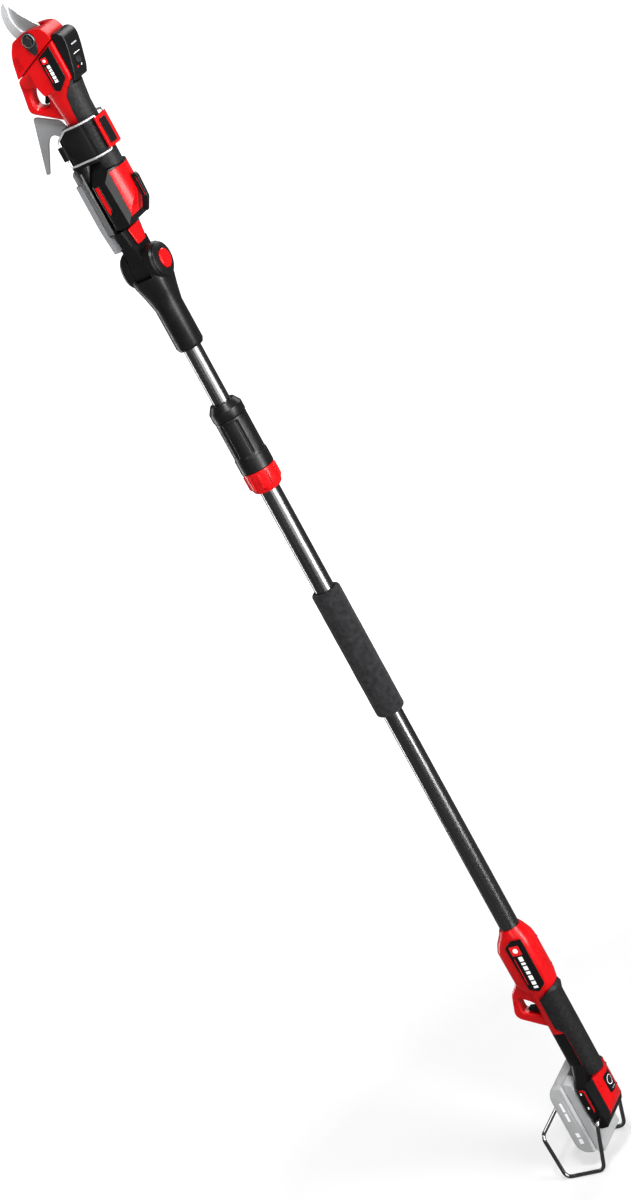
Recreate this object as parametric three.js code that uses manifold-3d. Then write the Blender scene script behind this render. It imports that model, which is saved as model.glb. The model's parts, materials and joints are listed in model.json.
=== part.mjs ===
// Telescopic pole pruner: a cordless pruning shear clipped into a tilting cradle on a two-stage pole.
// Millimetres, +Z up along the pole. The blades and both hand guards lie in the XZ plane: the guards
// point to -X and the backs of both handles to +X.
import * as THREE from 'three';
import { mergeVertices } from 'three/addons/utils/BufferGeometryUtils.js';
import Module from 'manifold-3d';

const wasm = await Module();
wasm.setup();

// Driving dimensions. Heights are taken from the ground under the wire stand.
const GAP = 0.3;
const LOWER_TUBE = { outer: 15, inner: 13.5, bottom: 330, top: 1190 };
const UPPER_TUBE = { outer: 13.2, inner: 11.7, bottom: 560, top: 1424 };
const HANDLE = { halfX: 22.5, halfY: 18.3, power: 2.3, wall: 3 };
const FOOT = { base: 64, height: 80, front: -17, half: 38 };
const GRIP_CENTRE = 222;
const HINGE_Z = 1529;
const LOBE = { radius: 27, inner: 13.8, outer: 26.8 };
const TONGUE = { radius: 25.6, half: 13.4 };
const PRUNER_X = 22;
const PRUNER_FOOT = { base: 1595, height: 72, front: 0, half: 34 };
const PIVOT = { x: 21, z: 1874 };
const BAIL = { low: 1696.5, high: 1746.5, wire: 1.6, side: 30.5, back: 49, pin: -13, lug: [1708, 1728] };
const BATTERY = { front: -62, split: -33, back: -17.5, half: 40, top: 150, bottom: 22 };
const STAND_WIRE = 3;

const part = new THREE.Group();
part.position.z = -GRIP_CENTRE;

// ---------------------------------------------------------------- helpers

function solid(geometry) {
  const bare = geometry.clone();
  bare.deleteAttribute('normal');
  bare.deleteAttribute('uv');
  const merged = mergeVertices(bare, 1e-4);
  const points = merged.attributes.position.array;
  const corners = Array.from(merged.index.array);
  const faces = [];
  let volume = 0;
  for (let i = 0; i < corners.length; i += 3) {
    const [a, b, c] = corners.slice(i, i + 3);
    if (a === b || b === c || c === a) continue;
    faces.push(a, b, c);
    const [p, q, r] = [a, b, c].map((k) => new THREE.Vector3().fromArray(points, 3 * k));
    volume += p.dot(q.cross(r));
  }
  if (volume < 0) faces.reverse();
  const triVerts = Uint32Array.from(faces);
  const vertProperties = Float32Array.from(points);
  return new wasm.Manifold(new wasm.Mesh({ numProp: 3, vertProperties, triVerts }));
}

function join(first, ...others) {
  return others.reduce((sum, next) => sum.add(next), first);
}

function cut(first, ...others) {
  return others.reduce((rest, next) => rest.subtract(next), first);
}

function place(name, body, colour, roughness, metalness = 0) {
  const mesh = body.getMesh();
  const geometry = new THREE.BufferGeometry();
  geometry.setAttribute('position', new THREE.BufferAttribute(Float32Array.from(mesh.vertProperties), 3));
  geometry.setIndex(new THREE.BufferAttribute(Uint32Array.from(mesh.triVerts), 1));
  geometry.computeVertexNormals();
  const finish = new THREE.MeshStandardMaterial({ color: colour, roughness, metalness });
  const node = new THREE.Mesh(geometry, finish);
  node.name = name;
  part.add(node);
}

const red = (name, body) => place(name, body, 0xd21a1f, 0.42);
const black = (name, body) => place(name, body, 0x18191b, 0.5);
const rubber = (name, body) => place(name, body, 0x1d1e20, 0.85);
const grey = (name, body) => place(name, body, 0x9a9c9e, 0.5);
const steel = (name, body) => place(name, body, 0xb9bcc0, 0.3, 1);

// A polygon with its corners rounded off; a third number in a point is that corner's own reach.
function soften(points, reach = 3, steps = 2) {
  const out = [];
  points.forEach((corner, i) => {
    const before = points[(i + points.length - 1) % points.length];
    const after = points[(i + 1) % points.length];
    const middle = new THREE.Vector2(corner[0], corner[1]);
    const toBefore = new THREE.Vector2(before[0], before[1]).sub(middle);
    const toAfter = new THREE.Vector2(after[0], after[1]).sub(middle);
    const size = Math.min(corner[2] ?? reach, toBefore.length() * 0.45, toAfter.length() * 0.45);
    const start = middle.clone().addScaledVector(toBefore.normalize(), size);
    const end = middle.clone().addScaledVector(toAfter.normalize(), size);
    const bend = new THREE.QuadraticBezierCurve(start, middle, end);
    bend.getPoints(size > 0.5 ? steps : 1).forEach((p) => out.push([p.x, p.y]));
  });
  return out;
}

function extrude(outline, depth, holes, bevel) {
  const shape = new THREE.Shape(outline.map(([u, v]) => new THREE.Vector2(u, v)));
  holes.forEach((hole) => shape.holes.push(new THREE.Path(hole.map(([u, v]) => new THREE.Vector2(u, v)))));
  const geometry = new THREE.ExtrudeGeometry(shape, {
    depth: depth - 2 * bevel,
    bevelEnabled: bevel > 0,
    bevelThickness: bevel,
    bevelSize: bevel,
    bevelOffset: -bevel,
    bevelSegments: 1,
  });
  geometry.translate(0, 0, bevel);
  return geometry;
}

// Extrudes and turns an outline; the bevel shrinks where a corner is too tight to carry it.
function extruded(outline, depth, holes, bevel, turn) {
  for (let size = bevel; ; size = size > 0.3 ? size * 0.6 : 0) {
    try {
      return solid(extrude(outline, depth, holes, size).applyMatrix4(turn));
    } catch (problem) {
      if (size === 0) throw problem;
    }
  }
}

// An outline in XZ, extruded along Y from y0 to y1.
function sideways(outline, y0, y1, holes = [], bevel = 0) {
  const turn = new THREE.Matrix4().set(1, 0, 0, 0, 0, 0, -1, y1, 0, 1, 0, 0, 0, 0, 0, 1);
  return extruded(outline, y1 - y0, holes, bevel, turn);
}

// An outline in XY, extruded upwards from z0 to z1.
function upwards(outline, z0, z1, holes = [], bevel = 0) {
  return extruded(outline, z1 - z0, holes, bevel, new THREE.Matrix4().makeTranslation(0, 0, z0));
}

// An outline in YZ, extruded along X from x0 to x1.
function across(outline, x0, x1, holes = [], bevel = 0) {
  const turn = new THREE.Matrix4().set(0, 0, 1, x0, 1, 0, 0, 0, 0, 1, 0, 0, 0, 0, 0, 1);
  return extruded(outline, x1 - x0, holes, bevel, turn);
}

function box(x0, x1, y0, y1, z0, z1) {
  const geometry = new THREE.BoxGeometry(x1 - x0, y1 - y0, z1 - z0);
  geometry.translate((x0 + x1) / 2, (y0 + y1) / 2, (z0 + z1) / 2);
  return solid(geometry);
}

// A stack of rounded sections [height, centre x, half x, half y, roundness power].
function loft(sections, sides = 22) {
  const rows = sections.length - 1;
  const geometry = new THREE.CylinderGeometry(1, 1, rows, sides, rows);
  const position = geometry.attributes.position;
  for (let i = 0; i < position.count; i += 1) {
    const [z, centre, halfX, halfY, power] = sections[Math.round(position.getY(i) + rows / 2)];
    const reach = Math.hypot(position.getX(i), position.getZ(i));
    const angle = Math.atan2(-position.getZ(i), position.getX(i));
    const round = (value) => (Math.abs(value) < 1e-9 ? 0 : Math.sign(value) * Math.abs(value) ** (2 / power));
    const x = centre + reach * halfX * round(Math.cos(angle));
    const y = reach * halfY * round(Math.sin(angle));
    position.setXYZ(i, x, y, z);
  }
  return solid(geometry);
}

// A profile of [radius, distance along the axis] turned about Z, X or Y.
function turned(profile, segments = 24) {
  const geometry = new THREE.LatheGeometry(profile.map(([r, h]) => new THREE.Vector2(r, h)), segments);
  geometry.rotateX(Math.PI / 2);
  return solid(geometry);
}

function turnedX(profile, y, z, segments = 24) {
  const geometry = new THREE.LatheGeometry(profile.map(([r, h]) => new THREE.Vector2(r, h)), segments);
  geometry.rotateZ(-Math.PI / 2);
  geometry.translate(0, y, z);
  return solid(geometry);
}

function turnedY(profile, x, z, segments = 16) {
  const geometry = new THREE.LatheGeometry(profile.map(([r, h]) => new THREE.Vector2(r, h)), segments);
  geometry.translate(x, 0, z);
  return solid(geometry);
}

function rod(radius, low, high) {
  return [[0, low], [radius, low], [radius, high], [0, high]];
}

function ring(inner, outer, low, high) {
  return [[inner, low], [outer, low], [outer, high], [inner, high], [inner, low]];
}

// Round wire along straight runs joined by bends.
function wire(points, radius, bend, steps, sides = 8) {
  const path = new THREE.CurvePath();
  const corners = points.map((p) => new THREE.Vector3(...p));
  let from = corners[0];
  for (let i = 1; i < corners.length - 1; i += 1) {
    const back = corners[i - 1].clone().sub(corners[i]);
    const ahead = corners[i + 1].clone().sub(corners[i]);
    const size = Math.min(bend, back.length() * 0.45, ahead.length() * 0.45);
    const enter = corners[i].clone().addScaledVector(back.normalize(), size);
    const leave = corners[i].clone().addScaledVector(ahead.normalize(), size);
    path.add(new THREE.LineCurve3(from, enter));
    path.add(new THREE.QuadraticBezierCurve3(enter, corners[i], leave));
    from = leave;
  }
  path.add(new THREE.LineCurve3(from, corners[corners.length - 1]));
  const section = new THREE.Shape();
  section.absarc(0, 0, radius, 0, 2 * Math.PI);
  const outline = new THREE.Shape(section.getSpacedPoints(sides).slice(0, sides));
  return solid(new THREE.ExtrudeGeometry(outline, { steps, extrudePath: path, bevelEnabled: false }));
}

function mirrored(outline) {
  const far = outline.map(([x, y]) => [x, -y]).reverse();
  return outline.concat(far.filter(([, y]) => Math.abs(y) > 1e-6));
}

function halves(body) {
  const reach = 200;
  const split = GAP / 2;
  const near = body.intersect(box(-reach, reach, -reach, -split, 0, 2200));
  const far = body.intersect(box(-reach, reach, split, reach, 0, 2200));
  return { near, far };
}

// ---------------------------------------------------------------- shared handle and foot shapes

// The battery foot under each handle: flat front for the rail, bevelled sides and a back that slants in.
function footBlock(foot, centre, topZ) {
  const { base, height, front, half } = foot;
  const back = centre + 25.5;
  const middle = (front + back) / 2;
  const halfX = (back - front) / 2;
  const shoulder = base + height;
  const swept = loft([
    [base - 4, middle, halfX, half - 1.5, 7],
    [shoulder - 6, middle, halfX, half, 7],
    [shoulder + 4, middle, halfX, half - 6, 5],
    [shoulder + 22, centre, HANDLE.halfX, HANDLE.halfY, HANDLE.power],
    [topZ, centre, HANDLE.halfX, HANDLE.halfY, HANDLE.power],
  ], 28);
  const bevels = upwards(mirrored([
    [front - 10, -half - 1],
    [centre + 3, -half - 1],
    [centre + 14, -half + 9],
    [centre + 19, -20],
    [centre + 23.5, -10],
    [back, 0],
  ]), base - 6, topZ + 1);
  const side = sideways([
    [front, base + 3],
    [front + 10, base - 2],
    [centre + 5, base - 1],
    [back + 1, base + 38],
    [back + 1, topZ + 1],
    [front - 10, topZ + 1],
    [front - 10, shoulder + 8],
    [front, shoulder + 2],
  ], -half - 2, half + 2);
  return swept.intersect(bevels).intersect(side);
}

function footCavity(foot, centre) {
  const { base, height, front } = foot;
  return sideways([
    [front + 4, base + 8],
    [centre + 2, base + 6],
    [centre + 12, base + 40],
    [centre + 12, base + height - 4],
    [front + 4, base + height - 4],
  ], -24, 24);
}

// ---------------------------------------------------------------- rear handle

// The rubber covers the back of the rear handle; its front edge steps back below the guard.
function rearGripRegion(gap) {
  return sideways([
    [-5 - gap, 236],
    [-5 - gap, 288 + gap],
    [21, 303.5 + gap],
    [60, 303.5 + gap],
    [60, 144 - gap],
    [6.5 - gap, 144 - gap],
    [6.5 - gap, 225],
  ], -40, 40);
}

const rearCore = loft([[150, 0, 19.2, 15, 2.3], [306, 0, 19.2, 15, 2.3]]);
const rearBarrel = loft([
  [224.5, 0, 22.5, 18.3, 2.3],
  [297, 0, 22.5, 18.3, 2.3],
  [307, -1.5, 26.5, 22, 2.8],
  [319, -3.5, 29.5, 24, 3.2],
  [380, -4, 30, 24, 3.2],
  [392, -2, 27, 22.5, 2.8],
  [405, 0, 19.8, 19.8, 2.2],
  [411, 0, 17.2, 17.2, 2],
], 32);
const rearOpening = soften([[-45, 295], [-27, 284], [-19, 275], [-19, 256], [-47, 269]], 5);
const rearGuard = sideways(soften([
  [-18, 340], [-31, 323], [-50.5, 303], [-63, 268], [-59, 259], [-26, 239], [-17, 234], [-6, 246], [-6, 334],
], 5), -10, 10, [rearOpening], 2.5);
const rearCavity = loft([
  [153, 0, 16.4, 12.2, 2.3],
  [300, 0, 16.4, 12.2, 2.3],
  [312, -3, 23.5, 18.5, 2.8],
  [322, -3.5, 25.5, 20.5, 3],
]);
const tubeBore = turned(rod(LOWER_TUBE.outer + GAP, 326, 420));
const cableHole = turned(rod(9, 318, 330), 20);
const triggerSlot = box(-28, -12, -5, 5, 257, 288.5);
const rearHousing = cut(
  join(cut(join(rearBarrel, rearGuard), rearGripRegion(GAP)), rearCore),
  rearCavity, tubeBore, cableHole, triggerSlot, sideways(rearOpening, -12, 12),
);
const rearSides = halves(rearHousing);

const gripSleeve = loft([
  [144, 0.5, 23.2, 18.8, 2.3],
  [149, 0.5, 24.2, 20, 2.3],
  [286, 0.5, 24.4, 20.2, 2.3],
  [297, 1.5, 26.5, 22, 2.4],
  [303.5, 1, 24.5, 20.5, 2.4],
]);
const rearCoreHole = loft([[140, 0, 19.5, 15.3, 2.3], [310, 0, 19.5, 15.3, 2.3]]);
rubber('rear_grip_rubber', cut(gripSleeve.intersect(rearGripRegion(0)), rearCoreHole));

// A six-sided plate on the near flank, and the raised pad that matches it on the far flank.
const labelOutline = soften([[-11, 389], [3, 398], [21, 398], [21, 318], [6, 306], [-8, 313]], 2);
red('rear_housing_near', rearSides.near);
const farPadOutline = soften([[-11, 374], [-3, 380], [12, 380], [12, 322], [4, 314], [-8, 318]], 2);
red('rear_housing_far', join(rearSides.far, sideways(farPadOutline, 20, 24.8, [], 0.4)));
black('rear_label_plate', sideways(labelOutline, -25.6, -24.3, [], 0.4));

// Battery foot: two black shells, a red back cover, a control panel and its button.
const rearFoot = cut(
  footBlock(FOOT, 0, 224),
  rearGripRegion(GAP), loft([[149.7, 0, 19.5, 15.3, 2.3], [226, 0, 19.5, 15.3, 2.3]]),
);
const rearCoverZone = (gap) => box(12 - gap, 40, -27 - gap, 27 + gap, 50, 143.7 + gap);
const rearCavityFoot = footCavity(FOOT, 0);
const standHoles = [-1, 1].map((side) => {
  const [y0, y1] = side < 0 ? [-45, -27] : [27, 45];
  return turnedY(rod(STAND_WIRE + GAP, y0, y1), -1, 81, 12);
});
const terminalWindow = box(-20, -12, -17, 17, 84, 131);
const rearFootShells = halves(cut(rearFoot, rearCoverZone(GAP), rearCavityFoot, terminalWindow, ...standHoles));
const trimOutline = soften([[-13, 134], [-4, 137], [1, 133], [1, 96], [-6, 86], [-13, 90]], 2);
black('foot_shell_near', join(rearFootShells.near, sideways(trimOutline, -39.4, -34, [], 0.4)));
black('foot_shell_far', join(rearFootShells.far, sideways(trimOutline, 34, 39.4, [], 0.4)));

const panelOutline = soften([[-12, 103], [12, 103], [12, 134], [-12, 134]], 2);
const panelPocket = across(panelOutline, 20.5, 40);
const buttonPocket = turnedX(rod(5.6, 19.6, 30), 0, 121, 20);
red('foot_back_cover', cut(rearFoot.intersect(rearCoverZone(0)), rearCavityFoot, panelPocket, buttonPocket));
const buttonHole = turnedX(rod(5.3, 10, 40), 0, 121, 20);
const panelInset = soften([[-11.6, 103.4], [11.6, 103.4], [11.6, 133.6], [-11.6, 133.6]], 2);
const rearPanelSkin = loft([[90, 0.2, 24.6, 24, 2.1], [150, 0.2, 24.6, 24, 2.1]], 40);
black('power_panel', cut(across(panelInset, 20.8, 40).intersect(rearPanelSkin), buttonHole));
rubber('power_button', turnedX([[0, 21.2], [5, 21.2], [5, 24.8], [4.4, 25.3], [0, 25.3]], 0, 121, 20));

// Rear trigger, which slides into the handle against its spring; its nose hooks forward under the finger.
black('rear_trigger', sideways(soften([
  [-15, 286], [-22, 281], [-27, 271], [-38, 272.5], [-40, 269], [-27, 261.5], [-20, 260.5], [-17, 268],
  [-9.5, 268], [-9.5, 286],
], 2), -4.5, 4.5));
steel('rear_trigger_spring', turnedX(ring(3, 5, -9, -2.6), 0, 276, 14));
black('rear_switch', box(-2, 8, -8, 8, 250, 292));

// Terminal block and control board behind the battery face.
const blades = [-10, 0, 10].map((y) => box(-27, -11, y - 0.6, y + 0.6, 96, 124));
black('terminal_block', join(box(-12.6, -8, -15.5, 15.5, 86, 129), ...blades));
place('control_board', box(-4, -2, -20, 20, 84, 134), 0x1c5a38, 0.6);

// ---------------------------------------------------------------- battery and stand

const { front, split, back, half, top, bottom } = BATTERY;
const batteryFront = sideways(
  soften([
    [split - GAP, top - 1], [-50, top], [front + 5, top - 8], [front, top - 20], [front, 40], [front + 6, 31],
    [-50, 27], [split - GAP, 25],
  ], 5),
  -half, half, [], 3,
);
const releasePocket = box(-50, -38, -13, 13, 20, 31);
place('battery_case', cut(batteryFront, releasePocket), 0xd9dbdc, 0.5);
const batteryRear = sideways(
  soften([
    [back, top - 6], [split + 4, top + 2], [split, top], [split, 24], [split + 4, bottom],
    [back - 3, bottom + 1], [back, bottom + 5],
  ], 2),
  -36.5, 36.5, [], 2,
);
place('battery_rail_cover', cut(batteryRear, box(-30, back + 1, -14, 14, 70, top + 5)), 0xcfd1d3, 0.5);
red('battery_release', box(-49.5, -38.5, -12.5, 12.5, 24.5, 29));

const standRoute = [
  [-1, -28, 81], [-1, -50, 81], [-26, -55, STAND_WIRE], [-92, -55, STAND_WIRE], [-95, -55, 81],
  [-95, 55, 81], [-92, 55, STAND_WIRE], [-26, 55, STAND_WIRE], [-1, 50, 81], [-1, 28, 81],
];
steel('wire_stand', wire(standRoute, STAND_WIRE, 11, 52));

// ---------------------------------------------------------------- pole

black('lower_tube', turned(ring(LOWER_TUBE.inner, LOWER_TUBE.outer, LOWER_TUBE.bottom, LOWER_TUBE.top), 28));
black('upper_tube', turned(ring(UPPER_TUBE.inner, UPPER_TUBE.outer, UPPER_TUBE.bottom, UPPER_TUBE.top), 28));
const glide = [[8.5, 549], [13.1, 549], [13.1, 559.7], [11.3, 559.7], [11.3, 580], [8.5, 580], [8.5, 549]];
place('tube_glide_bush', turned(glide, 28), 0xe4e2da, 0.6);
const foamProfile = [[15.3, 793], [20, 793], [22.3, 797], [22.3, 997], [20, 1001], [15.3, 1001], [15.3, 793]];
place('foam_grip', turned(foamProfile, 28), 0x1b1b1c, 0.95);
place('pole_cable', turned(rod(7, 331, 1500), 14), 0x202020, 0.7);

const lobes = [];
const LOBE_COUNT = 6;
for (let i = 0; i < LOBE_COUNT; i += 1) {
  const angle = (i * 2 * Math.PI) / LOBE_COUNT + 0.25;
  const groove = new THREE.CylinderGeometry(2.4, 2.4, 60, 6);
  groove.rotateX(Math.PI / 2);
  groove.translate(25.6 * Math.cos(angle), 25.6 * Math.sin(angle), 1257);
  lobes.push(solid(groove));
}
const collarProfile = [
  [17.4, 1192.6], [19, 1192.6], [19, 1204.4], [25, 1204.4], [25, 1226], [24, 1227], [24, 1286.6],
  [13.6, 1286.6], [13.6, 1228], [17.4, 1228], [17.4, 1192.6],
];
black('collar_sleeve', cut(turned(collarProfile, 28), ...lobes));
const capProfile = [[13.6, 1287], [24, 1287], [25, 1289], [25, 1301], [18.5, 1311], [13.6, 1311], [13.6, 1287]];
black('collar_cap', turned(capProfile, 28));

const ribs = [];
const RIB_COUNT = 10;
for (let i = 0; i < RIB_COUNT; i += 1) {
  const angle = (i * 2 * Math.PI) / RIB_COUNT;
  const rib = new THREE.BoxGeometry(3, 3.4, 22);
  rib.translate(24.2, 0, 1189);
  rib.rotateZ(angle);
  ribs.push(solid(rib));
}
const lockProfile = [
  [15.4, 1170], [18, 1170], [21.5, 1173], [24, 1181], [24.6, 1203.8], [19.4, 1203.8], [19.4, 1191.6],
  [15.4, 1191.6], [15.4, 1170],
];
const lockBody = turned(lockProfile, 28);
const ribTrim = turned([[15.4, 1168], [19.5, 1169], [25.6, 1181], [25.6, 1203], [15.4, 1203], [15.4, 1168]], 28);
red('lock_ring', join(lockBody, ...ribs.map((rib) => rib.intersect(ribTrim))));

const colletSlots = [0, 1, 2].map((i) => {
  const slot = new THREE.BoxGeometry(50, 1.6, 30);
  slot.rotateZ((i * Math.PI) / 3);
  slot.translate(0, 0, 1222);
  return solid(slot);
});
place('clamp_collet', cut(turned(ring(13.55, 17, 1191.9, 1227.6), 30), ...colletSlots), 0xe4e2da, 0.6);

// ---------------------------------------------------------------- tilting joint

const hingeBore = turnedX(rod(4 + GAP, -40, 40), 0, HINGE_Z, 16);
const yokeStem = loft([
  [1400, 0, 18, 18, 2],
  [1405, 0, 20.5, 20.5, 2],
  [1466, 0, 20.5, 20.5, 2],
  [1486, 0, 23.5, 23, 2.4],
  [1506, 0, LOBE.outer, LOBE.radius, 3],
  [HINGE_Z, 0, LOBE.outer, LOBE.radius, 3.4],
], 24);
const yokeDisc = turnedX([
  [0, -LOBE.outer], [LOBE.radius - 2, -LOBE.outer], [LOBE.radius, -LOBE.outer + 3],
  [LOBE.radius, LOBE.outer - 3], [LOBE.radius - 2, LOBE.outer], [0, LOBE.outer],
], 0, HINGE_Z, 28);
const yokeSlot = join(
  turnedX(rod(TONGUE.radius + 1.2, -LOBE.inner, LOBE.inner), 0, HINGE_Z, 28),
  box(-LOBE.inner, LOBE.inner, -50, 50, HINGE_Z - 14, HINGE_Z + 60),
);
const tiltButtonPocket = turnedX(rod(14.4, 18, 40), 0, HINGE_Z, 24);
const axleHeadPocket = turnedX(rod(7, -30, -23.4), 0, HINGE_Z, 20);
const upperTubeBore = turned(rod(UPPER_TUBE.outer + GAP, 1390, UPPER_TUBE.top + GAP), 32);
const wiringHole = turned(rod(8, 1420, 1520), 20);
black('yoke', cut(
  join(yokeStem, yokeDisc),
  yokeSlot, tiltButtonPocket, hingeBore, axleHeadPocket, upperTubeBore, wiringHole,
));

black('yoke_cheek_right', turnedX([
  [14.5, 27.1], [25, 27.1], [24.4, 28.6], [20, 30.8], [14.5, 31.8], [14.5, 27.1],
], 0, HINGE_Z, 24));
black('yoke_cheek_left', turnedX([[0, -32], [14, -31.2], [21, -29.6], [25, -27.1], [0, -27.1]], 0, HINGE_Z, 24));
const axleProfile = [[0, -26.4], [6.6, -26.4], [6.6, -23.8], [4, -23.8], [4, 17.4], [0, 17.4]];
steel('pivot_axle', turnedX(axleProfile, 0, HINGE_Z, 20));
const tiltButtonProfile = [[0, 25], [13.9, 25], [13.9, 32.2], [12.4, 33.8], [0, 34.8]];
red('pivot_button', turnedX(tiltButtonProfile, 0, HINGE_Z, 24));
steel('pivot_button_spring', turnedX(ring(6, 8.6, 18.4, 24.6), 0, HINGE_Z, 20));

const ratchetOutline = [];
const RATCHET_TEETH = 18;
for (let i = 0; i < RATCHET_TEETH * 2; i += 1) {
  const angle = (i * Math.PI) / RATCHET_TEETH;
  const reach = i % 2 ? 11.6 : 9.8;
  ratchetOutline.push([reach * Math.cos(angle), HINGE_Z + reach * Math.sin(angle)]);
}
const ratchetRecess = turnedX(rod(12, 9, 20), 0, HINGE_Z, 28);
steel('tilt_ratchet', cut(across(ratchetOutline, 9.4, 13.2), turnedX(rod(4.4, 5, 20), 0, HINGE_Z, 20)));

// ---------------------------------------------------------------- cradle

const tongue = turnedX([
  [0, -TONGUE.half], [TONGUE.radius, -TONGUE.half], [TONGUE.radius, TONGUE.half], [0, TONGUE.half],
], 0, HINGE_Z, 28);
const neckStem = across([[-21, HINGE_Z], [21, HINGE_Z], [22, 1566], [-22, 1566]], -11.2, 10);
const neckTop = loft([[1560, -0.6, 10.6, 22, 6], [1589.5, -0.6, 10.6, 29, 6]], 20);
black('cradle_neck', cut(join(tongue, neckStem, neckTop), hingeBore, ratchetRecess));

const adapterOutline = mirrored([[-20, -17.5], [-2, -31], [-1.2, 0]]);
const adapter = upwards(adapterOutline, 1590, 1684);
const troughSide = soften([[-21, -15], [-13, -27], [31, -27], [31, 0]], 3);
const troughOutline = mirrored(troughSide.filter(([, y]) => y < -0.5));
const trough = upwards(troughOutline, 1690, 1748);
const saddle = loft([[1741, -4, 14, 14, 4], [1750, -1, 9, 12, 4]], 24);
const troughDrop = loft([[1660, -6, 6, 25, 3], [1676, -5, 12, 27, 3], [1691, -4, 16, 26.5, 3]], 22);
const handleHollow = join(
  loft([[1600, PRUNER_X, 23.2, 19, 2.3], [1780, PRUNER_X, 23.2, 19, 2.3]]),
  box(PRUNER_X, 80, -19, 19, 1650, 1780),
  box(-0.9, 80, -50, 50, 1580, 1667.5),
  loft([[1667, 22, 23, 34.6, 5], [1672, 22, 22.8, 29, 4], [1689.5, PRUNER_X, 23.2, 19, 2.3]], 32),
);
const hookChamfer = sideways([[-40, 1727], [-21.5, 1727], [2, 1746.5], [2, 1760], [-40, 1760]], -40, 40);
const lugOutline = soften([[-15, -28], [-15, -34], [-5.5, -34], [-5.5, -26]], 2);
const [lugLow, lugHigh] = BAIL.lug;
const lugs = [-1, 1].map((side) => upwards(lugOutline.map(([x, y]) => [x, -side * y]), lugLow, lugHigh));
const lugHoles = [-1, 1].map((side) => (
  turned(rod(BAIL.wire + GAP, lugLow - 9, lugHigh + 11), 12).translate([-10, side * BAIL.side, 0])
));
black('cradle_shell', cut(
  join(adapter, trough, saddle, troughDrop, ...lugs),
  handleHollow, hookChamfer, ...lugHoles,
));

const spineCover = sideways(
  soften([[-30, 1668], [-30, 1600], [-27, 1562], [-12, 1562], [-12, 1581], [-20.4, 1589], [-20.4, 1668]], 2),
  -17.4, 17.4, [], 1.5,
);
const spineCapOutline = soften([[-27.5, 1662], [-27.5, 1684], [-21.5, 1689], [-21.5, 1662]], 3);
const spineCap = sideways(spineCapOutline, -14, 14, [], 0.6);
grey('cradle_spine_cover', join(spineCover, spineCap));
const latchOutline = soften([[-12.5, 1562], [12.5, 1562], [18, 1588.5], [-18, 1588.5]], 3);
red('cradle_latch', across(latchOutline, 10.4, 13.4, [], 1));

// Flat sheet hook for pulling cut branches down, on a flange that lies on the cradle's sloped shoulder.
const hookPlate = sideways(soften([
  [-46, 1774, 3], [-41, 1773.4, 3], [-10, 1757.5, 4], [-5.2, 1744.4, 2], [-20, 1731.8, 1], [-22.5, 1737, 4],
  [-29, 1742.5, 6], [-38, 1741, 6], [-44, 1734, 6], [-66, 1695.5, 1], [-71, 1696.5, 2],
], 2, 3), -1.8, 1.8, [], 0.4);
const hookFlange = sideways([[-20.8, 1728.2], [-6, 1740.4], [-7.9, 1742.8], [-22.7, 1730.6]], -9, 9);
grey('branch_hook', join(hookPlate, hookFlange));

// Wire bail: swings on a pin in the near lug and carries the over-centre lever behind the handle.
const bailRoute = [
  [BAIL.back, BAIL.pin, BAIL.low + 7], [BAIL.back, BAIL.pin, BAIL.low], [40, -26, BAIL.low],
  [30, -BAIL.side, BAIL.low], [-10, -BAIL.side, BAIL.low], [-10, -BAIL.side, lugHigh + 8],
  [6, -BAIL.side, BAIL.high], [30, -BAIL.side, BAIL.high],
  [40, -26, BAIL.high], [BAIL.back, BAIL.pin, BAIL.high], [BAIL.back, BAIL.pin, BAIL.high - 7],
];
steel('wire_bail', wire(bailRoute, BAIL.wire, 3, 40, 6));
const keeperRoute = [
  [-10, BAIL.side, lugLow - 3], [-10, BAIL.side, BAIL.low], [30, BAIL.side, BAIL.low], [42, 25, BAIL.low],
  [44.5, 20.8, BAIL.low], [44.5, 20.8, BAIL.high], [42, 25, BAIL.high], [30, BAIL.side, BAIL.high],
  [-10, BAIL.side, BAIL.high], [-10, BAIL.side, lugHigh + 3],
];
steel('wire_keeper', wire(keeperRoute, BAIL.wire, 3, 40, 6));
const leverOutline = soften([
  [47, -16], [51.2, -16], [52.6, -6], [52.6, 8], [50.5, 17], [46.6, 20], [46.4, 14], [47, 6],
], 1.5, 2);
const leverPad = box(50, 53.2, -6.6, 7.6, BAIL.low + 12.9, BAIL.high - 12.9);
const pinHoles = [[BAIL.low - 7.5, BAIL.low + 8], [BAIL.high - 8, BAIL.high + 7.5]].map(([z0, z1]) => (
  turned(rod(BAIL.wire + GAP, z0, z1), 10).translate([BAIL.back, BAIL.pin, 0])
));
red('bail_lever', cut(join(upwards(leverOutline, BAIL.low + 2.5, BAIL.high - 2.5), leverPad), ...pinHoles));

// ---------------------------------------------------------------- cordless pruner

const guardOpening = soften([
  [-20, 1813], [-27, 1800], [-28.5, 1788], [-22, 1782.5], [-8, 1782], [-4, 1790], [-5, 1809],
], 4);
const prunerGuard = sideways(soften([
  [-28, 1832], [-34.5, 1827], [-37, 1811], [-41.5, 1789], [-41.5, 1783], [-37, 1779], [-2, 1757.5], [12, 1752],
  [12, 1825], [-10, 1834],
], 4), -10, 10, [guardOpening], 3);
const upperChamfers = [-1, 1].map((side) => across(
  [[-30, 1800], [-11, 1800], [-11, 1813], [-23.5, 1836], [-30, 1836]].map(([y, z]) => [side * y, z]), -60, -3,
));
const prunerUpper = cut(sideways(soften([
  [-23.5, 1830.5], [-27, 1826], [-27, 1817], [-18, 1813], [-4, 1810], [0, 1797], [44, 1797], [51.7, 1809],
  [51.7, 1862],
], 3), -23, 23, [], 5), ...upperChamfers);
const prunerBar = loft([
  [1650, PRUNER_X, 19.2, 15, 2.3],
  [1790, PRUNER_X, 19.2, 15, 2.3],
  [1806, PRUNER_X, 22, 18, 2.5],
]);
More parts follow.
